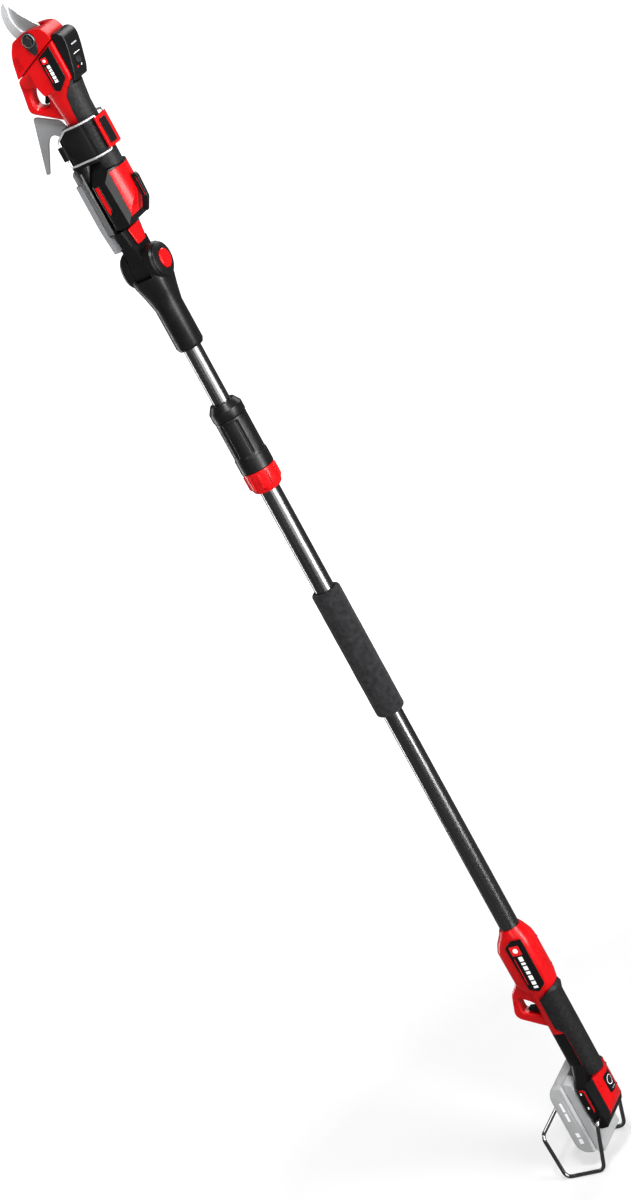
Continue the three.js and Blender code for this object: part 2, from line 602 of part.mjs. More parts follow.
const prunerFront = loft([
  [1690, PRUNER_X, 22.4, 18.3, 2.3],
  [1752, PRUNER_X, 22.4, 18.3, 2.3],
  [1785, 20.5, 24.4, 19, 2.4],
  [1800, 22, 26, 21, 2.8],
  [1812, 22, 28, 22, 3.2],
]);
function prunerGripRegion(gap) {
  return sideways([
    [60, 1672 - gap], [26 - gap, 1676 - gap], [26 - gap, 1766], [30 - gap, 1786 + gap], [46 - gap, 1804 + gap],
    [60, 1804 + gap],
  ], -40, 40);
}
const gearSweep = turnedY(rod(32, -6, 10), PIVOT.x, PIVOT.z, 32);
const boltBore = turnedY(rod(4.6, -40, 40), PIVOT.x, PIVOT.z, 16);
const pinionBore = turnedY(rod(7.6, -6, 10), PIVOT.x, PIVOT.z - 34, 20);
const handleCavity = loft([
  [1653, PRUNER_X, 16, 12, 2.3], [1786, PRUNER_X, 16, 12, 2.3], [1800, PRUNER_X, 18, 14, 2.5],
]);
const prunerTriggerSlot = box(-9, 10, -4.6, 4.6, 1781, 1812);
const panelZone = sideways([[52 - 0.3, 1880], [52 - 0.3, 1809], [44, 1797], [90, 1780], [90, 1880]], -40, 40);
const prunerBody = cut(
  join(cut(join(prunerGuard, prunerUpper, prunerFront), prunerGripRegion(GAP)), prunerBar),
  handleCavity, gearSweep, pinionBore, prunerTriggerSlot, sideways(guardOpening, -12, 12),
  sideways([[-60, 1816.3], [-60, 1900], [90, 1900], [90, 1878.5], [51.9, 1862.7]], -50, 50),
  loft([[1640, PRUNER_X, 40, 40, 4], [1689.6, PRUNER_X, 40, 40, 4]]).subtract(
    loft([[1630, PRUNER_X, 19.2, 15, 2.3], [1700, PRUNER_X, 19.2, 15, 2.3]]),
  ),
);
const prunerSides = halves(prunerBody);

const gearCover = sideways(soften([
  [-4, 1880, 3], [-13, 1868], [-18, 1857], [-23.8, 1832, 1], [51.7, 1863.2, 1], [51.7, 1869], [47, 1880],
  [34, 1884.5], [18, 1886],
], 5), -22, 22, [], 5);
const bladeSlot = sideways([[-30, 1884], [4, 1862], [38.5, 1862], [38.5, 1910], [-30, 1910]], -4.9, 4.9);
const coverSweep = cut(gearSweep, box(38.5, 60, -40, 40, 1860, 1920));
red('pruner_gear_cover', cut(gearCover, coverSweep, boltBore, bladeSlot));

const sleeveSections = [
  [1671, PRUNER_X, 23, 18.8, 2.3],
  [1676, PRUNER_X, 23.4, 19, 2.3],
  [1766, PRUNER_X, 23.4, 19, 2.3],
  [1788, 22, 26, 20.5, 2.4],
  [1804, 22, 28, 22.5, 2.6],
];
const prunerCoreHole = loft([
  [1650, PRUNER_X, 19.5, 15.3, 2.3], [1790, PRUNER_X, 19.5, 15.3, 2.3], [1806, PRUNER_X, 22.3, 18.3, 2.5],
]);
rubber('pruner_grip_rubber', cut(
  loft(sleeveSections).intersect(prunerGripRegion(0)),
  prunerCoreHole, cut(panelZone, box(-50, 90, -50, 50, 1700, 1796)),
));

const backPanel = sideways(soften([
  [52.1, 1868], [61, 1867.5], [68.5, 1862], [69.5, 1853], [66.5, 1838], [58, 1809], [52.1, 1797.5],
], 4), -19.5, 19.5, [], 4);
const panelButtonHole = turnedX(rod(6.3, 50, 90), 0, 1822, 20);
black('pruner_back_panel', cut(backPanel, panelButtonHole));
rubber('pruner_power_button', turnedX([[0, 55], [6, 55], [6, 62.6], [5, 63.4], [0, 63.4]], 0, 1822, 24));

const prunerLabel = soften([[45, 1857], [21, 1847], [21, 1799], [28, 1795.5], [45.5, 1810]], 2);
red('pruner_shell_near', prunerSides.near);
red('pruner_shell_far', join(prunerSides.far, sideways(prunerLabel, 18, 24.6, [], 0.4)));
black('pruner_label_plate', sideways(prunerLabel, -24.6, -23.3, [], 0.4));

// Battery foot of the pruner, which slides onto the cradle's adapter.
const prunerFoot = cut(
  footBlock(PRUNER_FOOT, PRUNER_X, 1689),
  prunerGripRegion(GAP), loft([[1649.7, PRUNER_X, 19.5, 15.3, 2.3], [1700, PRUNER_X, 19.5, 15.3, 2.3]]),
);
const prunerCoverZone = (gap) => box(32 - gap, 70, -26 - gap, 26 + gap, 1580, 1671.4 + gap);
const prunerFootCavity = footCavity(PRUNER_FOOT, PRUNER_X);
const insetOutline = soften([[6, 1662], [15.5, 1662], [16, 1622], [10, 1613], [6.5, 1624]], 3);
const insets = [sideways(insetOutline, -35.2, -30, [], 0.4), sideways(insetOutline, 30, 35.2, [], 0.4)];
black('pruner_foot_shell', join(cut(prunerFoot, prunerCoverZone(GAP), prunerFootCavity), ...insets));
red('pruner_foot_cover', cut(prunerFoot.intersect(prunerCoverZone(0)), prunerFootCavity));
const beltHook = sideways(
  soften([[47.8, 1652], [55.5, 1653.5], [57.6, 1648], [56.2, 1616], [45, 1598], [39.5, 1603.5], [47.8, 1620]], 2),
  -3, 3, [], 0.6,
);
const beltSlot = box(49.8, 54.2, -20, 20, 1619, 1647);
black('belt_hook', cut(beltHook, beltSlot));

// Trigger, drive and blades.
black('pruner_trigger', sideways(soften([
  [-3.5, 1809], [-8, 1805], [-10, 1795], [-16, 1786.5], [-13, 1784], [-3, 1786], [0, 1796], [4, 1801], [4, 1809],
], 2), -4.2, 4.2));

function onPivot(angle, reach) {
  return [PIVOT.x + reach * Math.sin(angle), PIVOT.z + reach * Math.cos(angle)];
}

const counterOutline = soften([
  [3, 1931.5, 1], [-5.5, 1925, 3], [-10.2, 1916, 4], [-12, 1901, 5], [-9.5, 1887, 5], [-3, 1874, 5],
  [8, 1858, 3], [24, 1856, 3], [34, 1866, 4], [34, 1878, 4], [20, 1884.5, 4], [8, 1884, 4], [1.5, 1897, 5],
  [0.8, 1909, 5], [3.6, 1921, 3],
], 3);
steel('counter_blade', cut(sideways(counterOutline, -4.4, -0.4, [], 0.5), boltBore));
const cuttingOutline = soften([
  [4.6, 1924, 1], [-2, 1911, 4], [-4, 1899, 5], [1, 1889, 5], [10, 1882, 4], [11, 1868, 4], [18, 1861, 3],
  [27, 1862, 3],
  [32, 1870, 4], [33, 1884, 3], [21, 1898, 6], [11.5, 1910.5, 4],
], 3);
place('cutting_blade', cut(sideways(cuttingOutline, 0, 4, [], 0.5), boltBore), 0x85888c, 0.35, 1);

// The motor's pinion drives a toothed segment on the cutting blade: 40 teeth to the circle, 8 on the pinion.
const GEAR = { distance: 34, wheel: 40, pinion: 8, tip: 0.9, root: 1.4 };
const wheelPitch = (GEAR.distance * GEAR.wheel) / (GEAR.wheel + GEAR.pinion);
const pinionPitch = GEAR.distance - wheelPitch;
const pinionZ = PIVOT.z - GEAR.distance;
const toothReach = (pitch, i) => (i % 2 ? pitch + GEAR.tip : pitch - GEAR.root);
const segmentOutline = [];
const SEGMENT_TEETH = 7;
for (let i = 0; i <= SEGMENT_TEETH * 2; i += 1) {
  segmentOutline.push(onPivot(Math.PI + ((i - 10) * Math.PI) / GEAR.wheel, toothReach(wheelPitch, i)));
}
for (const angle of [Math.PI + 0.9, Math.PI + 1.9, -1.2, 0, 1.2, 2.0]) segmentOutline.push(onPivot(angle, 9));
steel('drive_segment', cut(sideways(segmentOutline, 4.4, 9), boltBore));
const pinionOutline = [];
for (let i = 0; i < GEAR.pinion * 2; i += 1) {
  const angle = ((i + 1) * Math.PI) / GEAR.pinion;
  const reach = toothReach(pinionPitch, i);
  pinionOutline.push([PIVOT.x + reach * Math.cos(angle), pinionZ + reach * Math.sin(angle)]);
}
steel('drive_pinion', sideways(pinionOutline, 4.4, 9));
steel('pruner_motor', turned([[0, 1694], [11.4, 1694], [11.4, 1752], [8, 1756], [8, 1772], [0, 1772]], 24)
  .translate([PRUNER_X, 0, 0]));

const hex = (radius, x, z) => [0, 1, 2, 3, 4, 5].map((i) => [
  x + radius * Math.cos((i * Math.PI) / 3), z + radius * Math.sin((i * Math.PI) / 3),
]);
const boltProfile = [[0, -24.2], [4.2, -24.2], [4.2, 22.3], [9, 22.3], [9, 25], [7.5, 26.4], [0, 26.4]];
const boltShaft = turnedY(boltProfile, PIVOT.x, PIVOT.z);
const lockNut = sideways(hex(7.4, PIVOT.x, PIVOT.z), -28.6, -24, [], 0.8);
black('pivot_bolt', join(boltShaft, lockNut));
const plateOutline = soften([
  onPivot(0, 11.5), onPivot(0.8, 11.5), onPivot(1.6, 11.5), onPivot(2.5, 14), onPivot(2.95, 21.5),
  onPivot(3.3, 21.5),
  onPivot(3.75, 13), onPivot(4.6, 11.5), onPivot(5.5, 11.5),
], 4);
black('lock_plate', cut(sideways(plateOutline, -23.7, -22.3, [], 0.3), boltBore));

export default part;
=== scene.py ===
"""Telescopic pole pruner: materials, fine pieces, floor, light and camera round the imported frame."""
import json
import math

import bmesh
import bpy
from mathutils import Matrix, Vector, noise


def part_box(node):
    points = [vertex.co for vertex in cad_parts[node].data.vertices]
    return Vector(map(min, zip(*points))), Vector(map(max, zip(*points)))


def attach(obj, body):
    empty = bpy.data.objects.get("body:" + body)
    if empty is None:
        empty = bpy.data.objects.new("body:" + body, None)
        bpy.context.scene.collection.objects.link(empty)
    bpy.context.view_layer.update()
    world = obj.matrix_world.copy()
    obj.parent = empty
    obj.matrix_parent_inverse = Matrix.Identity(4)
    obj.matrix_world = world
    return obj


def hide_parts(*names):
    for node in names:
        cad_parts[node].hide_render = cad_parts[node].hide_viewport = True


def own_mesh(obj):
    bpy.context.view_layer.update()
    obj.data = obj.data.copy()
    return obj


MM = 0.001
GRIP_HEIGHT = 222  # the row frame's origin, in mm above the ground

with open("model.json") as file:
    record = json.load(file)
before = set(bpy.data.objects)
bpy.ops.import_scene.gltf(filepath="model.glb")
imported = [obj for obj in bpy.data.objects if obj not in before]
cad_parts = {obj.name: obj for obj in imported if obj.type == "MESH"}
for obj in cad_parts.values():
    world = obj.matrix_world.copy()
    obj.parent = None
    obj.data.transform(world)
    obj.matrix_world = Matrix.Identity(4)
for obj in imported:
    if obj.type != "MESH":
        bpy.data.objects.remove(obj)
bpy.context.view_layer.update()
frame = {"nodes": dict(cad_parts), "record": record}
nodes = frame["nodes"]


def at(x, y, z):
    """A place given in mm, with z from the ground, as metres in the row frame."""
    return Vector((x * MM, y * MM, (z - GRIP_HEIGHT) * MM))


# ------------------------------------------------------------------ materials

def shader(name):
    """A new material, with its node tree and its shader."""
    material = bpy.data.materials.new(name)
    material.use_nodes = True
    return material, material.node_tree, material.node_tree.nodes["Principled BSDF"]


def preset(node, values):
    """Sets a node's own sockets."""
    for key, value in values.items():
        node.inputs[key].default_value = value


def texture(tree, kind, scale, stretch=(1, 1, 1), **inputs):
    """A texture node in object coordinates, so that it stays with its piece."""
    place = tree.nodes.new("ShaderNodeTexCoord")
    mapping = tree.nodes.new("ShaderNodeMapping")
    node = tree.nodes.new(kind)
    preset(mapping, {"Scale": stretch})
    preset(node, {"Scale": scale, **inputs})
    tree.links.new(place.outputs["Object"], mapping.inputs["Vector"])
    tree.links.new(mapping.outputs["Vector"], node.inputs["Vector"])
    return node


def spread(tree, source, low, high, start=0.3, end=0.7):
    """Maps a texture's middle range onto low to high."""
    node = tree.nodes.new("ShaderNodeMapRange")
    preset(node, {"From Min": start, "From Max": end, "To Min": low, "To Max": high})
    tree.links.new(source, node.inputs["Value"])
    return node.outputs["Result"]


def roughen(tree, bsdf, source, low, high, start=0.3, end=0.7):
    """Roughness that a texture moves between low and high."""
    tree.links.new(spread(tree, source, low, high, start, end), bsdf.inputs["Roughness"])


def paint(tree, bsdf, source, dark, light, start=0.3, end=0.7):
    """Base colour that a texture moves between dark and light."""
    ramp = tree.nodes.new("ShaderNodeValToRGB")
    for stop, place, colour in zip(ramp.color_ramp.elements, (start, end), (dark, light)):
        stop.position = place
        stop.color = (*colour, 1)
    tree.links.new(source, ramp.inputs["Fac"])
    tree.links.new(ramp.outputs["Color"], bsdf.inputs["Base Color"])


def drifting(tree, bsdf, source, colour, variation):
    """Base colour that wanders a little to both sides of one colour."""
    paint(tree, bsdf, source, [c * (1 - variation) for c in colour],
          [min(1.0, c * (1 + variation)) for c in colour])


def bump(tree, bsdf, source, strength, distance, below=None):
    """Relief from a texture, in metres, on top of the relief below it."""
    node = tree.nodes.new("ShaderNodeBump")
    preset(node, {"Strength": strength, "Distance": distance})
    tree.links.new(source, node.inputs["Height"])
    if below is not None:
        tree.links.new(below, node.inputs["Normal"])
    tree.links.new(node.outputs["Normal"], bsdf.inputs["Normal"])
    return node.outputs["Normal"]


def moulded(name, colour, roughness, grain=2600, grain_depth=0.00001, coat=0.0, variation=0.12,
            spots=1.0, gloss=0.3):
    """Injection-moulded plastic: slow colour drift, patchy gloss and a fine spark-eroded grain."""
    material, tree, bsdf = shader(name)
    drift = texture(tree, "ShaderNodeTexNoise", 14.0, Detail=3.0)
    drifting(tree, bsdf, drift.outputs["Fac"], colour, variation)
    patch = texture(tree, "ShaderNodeTexNoise", 60.0, Detail=4.0)
    roughen(tree, bsdf, patch.outputs["Fac"], roughness * 0.85, min(1, roughness * 1.18))
    fine = texture(tree, "ShaderNodeTexNoise", grain, Detail=2.0)
    slow = texture(tree, "ShaderNodeTexNoise", 45.0, Detail=1.0)
    swell = bump(tree, bsdf, slow.outputs["Fac"], 0.08, 0.0004)
    bump(tree, bsdf, fine.outputs["Fac"], spots, grain_depth, swell)
    preset(bsdf, {"Coat Weight": coat, "Coat Roughness": 0.12, "IOR": 1.5, "Specular IOR Level": gloss})
    return material


def overmould(name, colour):
    """Soft rubber with a pebbled texture, paler where the pebbles catch dust."""
    material, tree, bsdf = shader(name)
    pebbles = texture(tree, "ShaderNodeTexVoronoi", 1150.0)
    dust = texture(tree, "ShaderNodeTexNoise", 260.0, Detail=5.0)
    dusty = [c * 2.4 + 0.004 for c in colour]
    paint(tree, bsdf, dust.outputs["Fac"], colour, dusty, 0.42, 0.8)
    roughen(tree, bsdf, pebbles.outputs["Distance"], 0.40, 0.66, 0.0, 0.6)
    bump(tree, bsdf, pebbles.outputs["Distance"], 0.8, 0.00016)
    preset(bsdf, {"Specular IOR Level": 0.35})
    return material


def closed_foam(name, colour):
    """Closed-cell foam: fine cells over a slow, cloudy unevenness."""
    material, tree, bsdf = shader(name)
    cells = texture(tree, "ShaderNodeTexVoronoi", 900.0)
    cloud = texture(tree, "ShaderNodeTexNoise", 130.0, Detail=6.0)
    worn = [c * 2.0 + 0.004 for c in colour]
    paint(tree, bsdf, cloud.outputs["Fac"], colour, worn, 0.35, 0.75)
    below = bump(tree, bsdf, cloud.outputs["Fac"], 0.5, 0.0005)
    bump(tree, bsdf, cells.outputs["Distance"], 0.8, 0.0003, below)
    preset(bsdf, {"Roughness": 0.92, "Specular IOR Level": 0.2, "Sheen Weight": 0.06,
                  "Sheen Roughness": 0.5})
    return material


def metal(name, colour, roughness, stretch=(1, 1, 1), grain=700, metallic=1.0):
    """Metal with drawn or ground grain; stretch makes the marks long along one axis."""
    material, tree, bsdf = shader(name)
    marks = texture(tree, "ShaderNodeTexNoise", grain, stretch, Detail=3.0)
    drift = texture(tree, "ShaderNodeTexNoise", 25.0, Detail=2.0)
    drifting(tree, bsdf, drift.outputs["Fac"], colour, 0.06)
    roughen(tree, bsdf, marks.outputs["Fac"], roughness * 0.8, roughness * 1.3)
    bump(tree, bsdf, marks.outputs["Fac"], 0.7, 0.000015)
    preset(bsdf, {"Metallic": metallic})
    return material


def coated_tube(name, colour):
    """Dark bright-drawn tube under a clear coat, with faint orange peel and lengthwise draw lines."""
    material, tree, bsdf = shader(name)
    lines = texture(tree, "ShaderNodeTexNoise", 900.0, (1, 1, 0.01), Detail=2.0)
    peel = texture(tree, "ShaderNodeTexNoise", 420.0, Detail=2.0)
    paint(tree, bsdf, lines.outputs["Fac"], [c * 0.8 for c in colour], [c * 1.5 for c in colour])
    roughen(tree, bsdf, peel.outputs["Fac"], 0.2, 0.3)
    below = bump(tree, bsdf, peel.outputs["Fac"], 0.25, 0.00002)
    bump(tree, bsdf, lines.outputs["Fac"], 0.3, 0.00001, below)
    preset(bsdf, {"Metallic": 1.0, "Coat Weight": 0.3, "Coat Roughness": 0.08})
    return material


def frosted(name, colour):
    """Pale frosted plastic that lets some light through."""
    material = moulded(name, colour, 0.45, grain=1800, grain_depth=0.00003, variation=0.04)
    preset(material.node_tree.nodes["Principled BSDF"],
           {"Subsurface Weight": 0.2, "Subsurface Radius": (0.004, 0.004, 0.004), "Alpha": 0.8})
    return material


def board_lacquer(name):
    """Green solder mask over copper tracks."""
    material, tree, bsdf = shader(name)
    tracks = texture(tree, "ShaderNodeTexVoronoi", 260.0)
    paint(tree, bsdf, tracks.outputs["Distance"], (0.008, 0.06, 0.025), (0.02, 0.14, 0.06), 0.1, 0.5)
    bump(tree, bsdf, tracks.outputs["Distance"], 0.4, 0.0001)
    preset(bsdf, {"Roughness": 0.3})
    return material


MATERIALS = {
    "red_plastic": moulded("red_plastic", (0.47, 0.003, 0.005), 0.30, grain=1900, coat=0.12, spots=0.5,
                           gloss=0.22),
    "black_plastic": moulded("black_plastic", (0.0075, 0.0075, 0.008), 0.34),
    "textured_rubber": overmould("textured_rubber", (0.0075, 0.0075, 0.008)),
    "tube_coat": coated_tube("tube_coat", (0.15, 0.15, 0.153)),
    "foam": closed_foam("foam", (0.013, 0.013, 0.014)),
    "grey_plastic": moulded("grey_plastic", (0.27, 0.275, 0.285), 0.36, variation=0.06),
    "hook_sheet": moulded("hook_sheet", (0.24, 0.243, 0.248), 0.4, grain=1500, variation=0.08),
    "battery_plastic": frosted("battery_plastic", (0.42, 0.425, 0.43)),
    "bright_wire": metal("bright_wire", (0.26, 0.26, 0.265), 0.16, (1, 1, 0.1)),
    "blade_steel": metal("blade_steel", (0.62, 0.63, 0.64), 0.32, (1, 1, 0.06), grain=1100,
                         metallic=0.45),
    "dark_blade_steel": metal("dark_blade_steel", (0.33, 0.335, 0.34), 0.33, (1, 1, 0.06), grain=1100,
                              metallic=0.5),
    "machined_steel": metal("machined_steel", (0.5, 0.5, 0.51), 0.3, (0.1, 1, 1)),
    "black_steel": moulded("black_steel", (0.022, 0.022, 0.023), 0.22, grain=1500, gloss=0.6),
    "white_nylon": moulded("white_nylon", (0.7, 0.69, 0.64), 0.5, variation=0.04),
    "circuit_board": board_lacquer("circuit_board"),
    "cable_jacket": moulded("cable_jacket", (0.012, 0.012, 0.012), 0.5),
}
INK_WHITE = moulded("ink_white", (0.78, 0.78, 0.78), 0.45, variation=0.03)
INK_RED = moulded("ink_red", (0.62, 0.006, 0.012), 0.35, variation=0.05)
# Painted shade: a dark red that stands in for the shade inside the gear housing's grooves.
GROOVE_SHADE_RED = moulded("groove_shade_red", (0.20, 0.002, 0.003), 0.4)
ZINC_WIRE = metal("zinc_wire", (0.50, 0.50, 0.51), 0.34, (1, 1, 0.1), metallic=0.55)
LAMP_LENS = moulded("lamp_lens", (0.5, 0.52, 0.54), 0.2, variation=0.05)

SHARP = math.radians(32)  # edges sharper than this are softened, and shade as edges
FLAT = math.radians(0.6)  # faces closer to one plane than this are joined
WELD = 0.00002  # metres
USUAL_EDGE = 0.45  # mm
EDGE = {"wire_stand": 0, "wire_bail": 0, "wire_keeper": 0, "counter_blade": 0.2, "cutting_blade": 0.2}


def bevelled(piece, width):
    """Rounds a piece's sharp edges by a width in mm."""
    soft = piece.modifiers.new("edges", "BEVEL")
    soft.width = width * MM
    soft.segments = 2
    soft.limit_method = "ANGLE"
    soft.angle_limit = SHARP
    soft.harden_normals = True
    return piece


def dress(node, material, edge):
    """Gives a CAD node its material and softens its sharp edges, without touching its vertices."""
    mesh = node.data
    if "custom_normal" in mesh.attributes:
        mesh.attributes.remove(mesh.attributes["custom_normal"])
    mesh.polygons.foreach_set("use_smooth", [True] * len(mesh.polygons))
    mesh.materials.clear()
    mesh.materials.append(material)
    mesh.polygons.foreach_set("material_index", [0] * len(mesh.polygons))
    node.modifiers.new("weld", "WELD").merge_threshold = WELD
    plane = node.modifiers.new("planes", "DECIMATE")
    plane.decimate_type = "DISSOLVE"
    plane.angle_limit = FLAT
    bevelled(node, edge)


for part in frame["record"]["subparts"]:
    dress(nodes[part["node"]], MATERIALS[part["material_slot"]], EDGE.get(part["node"], USUAL_EDGE))


# ------------------------------------------------------------------ piece builders

def finished(piece, body, material, replaced=()):
    """Material, body and the CAD nodes it stands for, which it hides."""
    piece.data.materials.append(material)
    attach(piece, body)
    if replaced:
        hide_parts(*replaced)
    return piece


def as_object(name, bm, smooth=True, angle=SHARP):
    """A scene object from a bmesh, with its faces turned outwards."""
    mesh = bpy.data.meshes.new(name)
    bmesh.ops.recalc_face_normals(bm, faces=bm.faces)
    bm.to_mesh(mesh)
    bm.free()
    mesh.polygons.foreach_set("use_smooth", [smooth] * len(mesh.polygons))
    mesh.set_sharp_from_angle(angle=angle)
    piece = bpy.data.objects.new(name, mesh)
    bpy.context.scene.collection.objects.link(piece)
    return piece


def turn(step, steps):
    """The angle of one step round a circle."""
    return 2 * math.pi * step / steps


def bridge(bm, low, high):
    """A band of quads between two loops of the same length."""
    for i in range(len(low)):
        j = (i + 1) % len(low)
        bm.faces.new((low[i], low[j], high[j], high[i]))


def ring_object(name, bm, loops):
    """A closed ring from its section's loops, the last joined to the first."""
    for low, high in zip(loops, loops[1:] + loops[:1]):
        bridge(bm, low, high)
    return as_object(name, bm)


def lathe(name, radius_at, rows, segments=96, closed=True):
    """A surface round the pole axis from (radius, z) rows in mm, shaped by radius_at(radius, z, angle)."""
    bm = bmesh.new()
    loops = []
    for radius, z in rows:
        loop = []
        for i in range(segments):
            angle = turn(i, segments)
            r = radius_at(radius, z, angle) if radius_at else radius
            loop.append(bm.verts.new(at(r * math.cos(angle), r * math.sin(angle), z)))
        loops.append(loop)
    if closed:
        return ring_object(name, bm, loops)
    for low, high in zip(loops, loops[1:]):
        bridge(bm, low, high)
    return as_object(name, bm)


def slab(name, outline, low, high, plane="xz", bevel=0.0):
    """A flat piece from an outline in mm: in XZ, and low to high along Y, or in YZ, and along X."""
    def spot(u, v, depth):
        return at(u, depth, v) if plane == "xz" else at(depth, u, v)

    bm = bmesh.new()
    near = [bm.verts.new(spot(u, v, low)) for u, v in outline]
    far = [bm.verts.new(spot(u, v, high)) for u, v in outline]
    bm.faces.new(near)
    bm.faces.new(list(reversed(far)))
    for i in range(len(outline)):
        j = (i + 1) % len(outline)
        bm.faces.new((near[j], near[i], far[i], far[j]))
    piece = as_object(name, bm)
    if bevel:
        bevelled(piece, bevel)
    return piece


def rounded(points, reach=3.0, steps=5):
    """A closed outline with its corners rounded off; a point's third number is its own reach."""
    out = []
    for i, corner in enumerate(points):
        middle = Vector(corner[:2])
        before = Vector(points[i - 1][:2]) - middle
        after = Vector(points[(i + 1) % len(points)][:2]) - middle
        size = min(corner[2] if len(corner) > 2 else reach, before.length * 0.45, after.length * 0.45)
        start, end = middle + before.normalized() * size, middle + after.normalized() * size
        for k in range(steps + 1):
            t = k / steps
            out.append(tuple(start * (1 - t) ** 2 + middle * 2 * t * (1 - t) + end * t * t))
    return out


def wire(name, points, radius, bend):
    """Round wire along straight runs joined by bends, in mm."""
    bend_steps = 12
    corners = [at(*p) for p in points]
    route = [corners[0]]
    for before, corner, after in zip(corners, corners[1:], corners[2:]):
        back, ahead = before - corner, after - corner
        size = min(bend * MM, back.length * 0.45, ahead.length * 0.45)
        start, end = corner + back.normalized() * size, corner + ahead.normalized() * size
        for k in range(bend_steps + 1):
            t = k / bend_steps
            route.append(start * (1 - t) ** 2 + corner * 2 * t * (1 - t) + end * t * t)
    route.append(corners[-1])
    curve = bpy.data.curves.new(name, "CURVE")
    curve.dimensions = "3D"
    curve.bevel_depth = radius * MM
    curve.bevel_resolution = 6
    curve.use_fill_caps = True
    spline = curve.splines.new("POLY")
    spline.points.add(len(route) - 1)
    for point, place in zip(spline.points, route):
        point.co = (*place, 1)
    spline.use_smooth = True
    piece = bpy.data.objects.new(name, curve)
    bpy.context.scene.collection.objects.link(piece)
    return piece


# ------------------------------------------------------------------ pole

def tube(name, node, body):
    """A drawn tube with a fine rolled edge at each end."""
    wall, edge, lengths = 1.5, 0.4, 12
    low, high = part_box(node)
    outer = (high.x - low.x) / 2 / MM
    inner = outer - wall
    bottom, top = low.z / MM + GRIP_HEIGHT, high.z / MM + GRIP_HEIGHT
    rows = [(inner, bottom), (outer - edge, bottom), (outer, bottom + edge)]
    rows += [(outer, bottom + (top - bottom) * k / lengths) for k in range(1, lengths)]
    rows += [(outer, top - edge), (outer - edge, top), (inner, top)]
    finished(lathe(name, None, rows), body, MATERIALS["tube_coat"], [node])


tube("lower_tube_fine", "lower_tube", "handle")
tube("upper_tube_fine", "upper_tube", "boom")


def foam_sleeve():
    """Foam grip: slightly crowned, with soft rolled ends and faint dents where hands squeeze it."""
    low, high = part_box("foam_grip")
    bottom, top = low.z / MM + GRIP_HEIGHT, high.z / MM + GRIP_HEIGHT
    outer, inner, roll, lip = 22.1, 15.35, 5.0, 1.2
    core = 18  # inside this radius the foam is left round
    steps, lengths = 8, 64
    quarter = [turn(k, 4 * steps) for k in range(steps + 1)]
    rows = [(inner, bottom + lip), (inner + lip, bottom)]
    rows += [(outer - roll + roll * math.sin(a), bottom + roll - roll * math.cos(a)) for a in quarter]
    rows += [(outer, bottom + roll + (top - bottom - 2 * roll) * k / lengths) for k in range(1, lengths)]
    rows += [(outer - roll + roll * math.cos(a), top - roll + roll * math.sin(a)) for a in quarter]
    rows += [(inner + lip, top), (inner, top - lip)]

    def shape(radius, z, angle):
        if radius < core:
            return radius
        spot = Vector((math.cos(angle) * 1.3, math.sin(angle) * 1.3, z / 28))
        fine = Vector((math.cos(angle) * 9, math.sin(angle) * 9, z / 2.6))
        return radius + 0.28 * noise.noise(spot) + 0.10 * noise.noise(fine) - 0.15

    piece = lathe("foam_sleeve", shape, rows, 128)
    finished(piece, "handle", MATERIALS["foam"], ["foam_grip"])


foam_sleeve()


# ------------------------------------------------------------------ wires

STAND = {"radius": 3, "front": -95, "low": 3, "side": 55}
BAIL = {"radius": 1.6, "low": 1696.5, "high": 1746.5, "side": 30.5, "back": 49, "pin": -13, "lug": -10}


def stand_wire():
    """The wire foot: one wire from the near lug round to the far one."""
    low, front, side = STAND["low"], STAND["front"], STAND["side"]
    half = [(-1, -28, 81), (-1, -50, 81), (-26, -side, low), (-92, -side, low), (front, -side, 81)]
    route = half + [(x, -y, z) for x, y, z in reversed(half)]
    finished(wire("stand_wire_bent", route, STAND["radius"], 11), "handle",
             MATERIALS["bright_wire"], ["wire_stand"])


def bail_wires():
    """The bail round the near side, which swings, and the keeper round the far side, which doesn't."""
    low, high, side, back, pin, lug = (BAIL[k] for k in ("low", "high", "side", "back", "pin", "lug"))
    bail = [(back, pin, low + 7), (back, pin, low), (40, -26, low), (30, -side, low), (lug, -side, low),
            (lug, -side, 1736), (6, -side, high), (30, -side, high), (40, -26, high), (back, pin, high),
            (back, pin, high - 7)]
    keeper = [(lug, side, 1705), (lug, side, low), (30, side, low), (42, 25, low), (44.5, 20.8, low),
              (44.5, 20.8, high), (42, 25, high), (30, side, high), (lug, side, high), (lug, side, 1731)]
    for name, route, body, node in (("bail_wire_bent", bail, "bail", "wire_bail"),
                                    ("keeper_wire_bent", keeper, "head", "wire_keeper")):
        finished(wire(name, route, BAIL["radius"], 3), body, ZINC_WIRE, [node])


stand_wire()
bail_wires()


# ------------------------------------------------------------------ springs

def coil_spring(name, node, body, centre_z, span, radius, gauge, turns):
    """A coil along X over a span in mm."""
    bm = bmesh.new()
    steps, sides = turns * 24, 8
    low, high = span
    loops = []
    for k in range(steps + 1):
        share = k / steps
        round_coil = 2 * math.pi * turns * share
        x = low + gauge + (high - low - 2 * gauge) * share
        loop = []
        for i in range(sides):
            reach = radius + gauge * math.cos(turn(i, sides))
            loop.append(bm.verts.new(at(x + gauge * math.sin(turn(i, sides)), reach * math.cos(round_coil),
                                        centre_z + reach * math.sin(round_coil))))
        loops.append(loop)
    for before, after in zip(loops, loops[1:]):
        bridge(bm, before, after)
    bm.faces.new(list(reversed(loops[0])))
    bm.faces.new(loops[-1])
    piece = finished(as_object(name, bm), body, MATERIALS["machined_steel"], [node])
    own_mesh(piece)


coil_spring("rear_trigger_coil", "rear_trigger_spring", "handle", 276, (-9, -2.6),
            radius=4, gauge=0.5, turns=4)
coil_spring("tilt_button_coil", "pivot_button_spring", "boom", 1529, (18.4, 24.6),
            radius=7.3, gauge=0.6, turns=3)


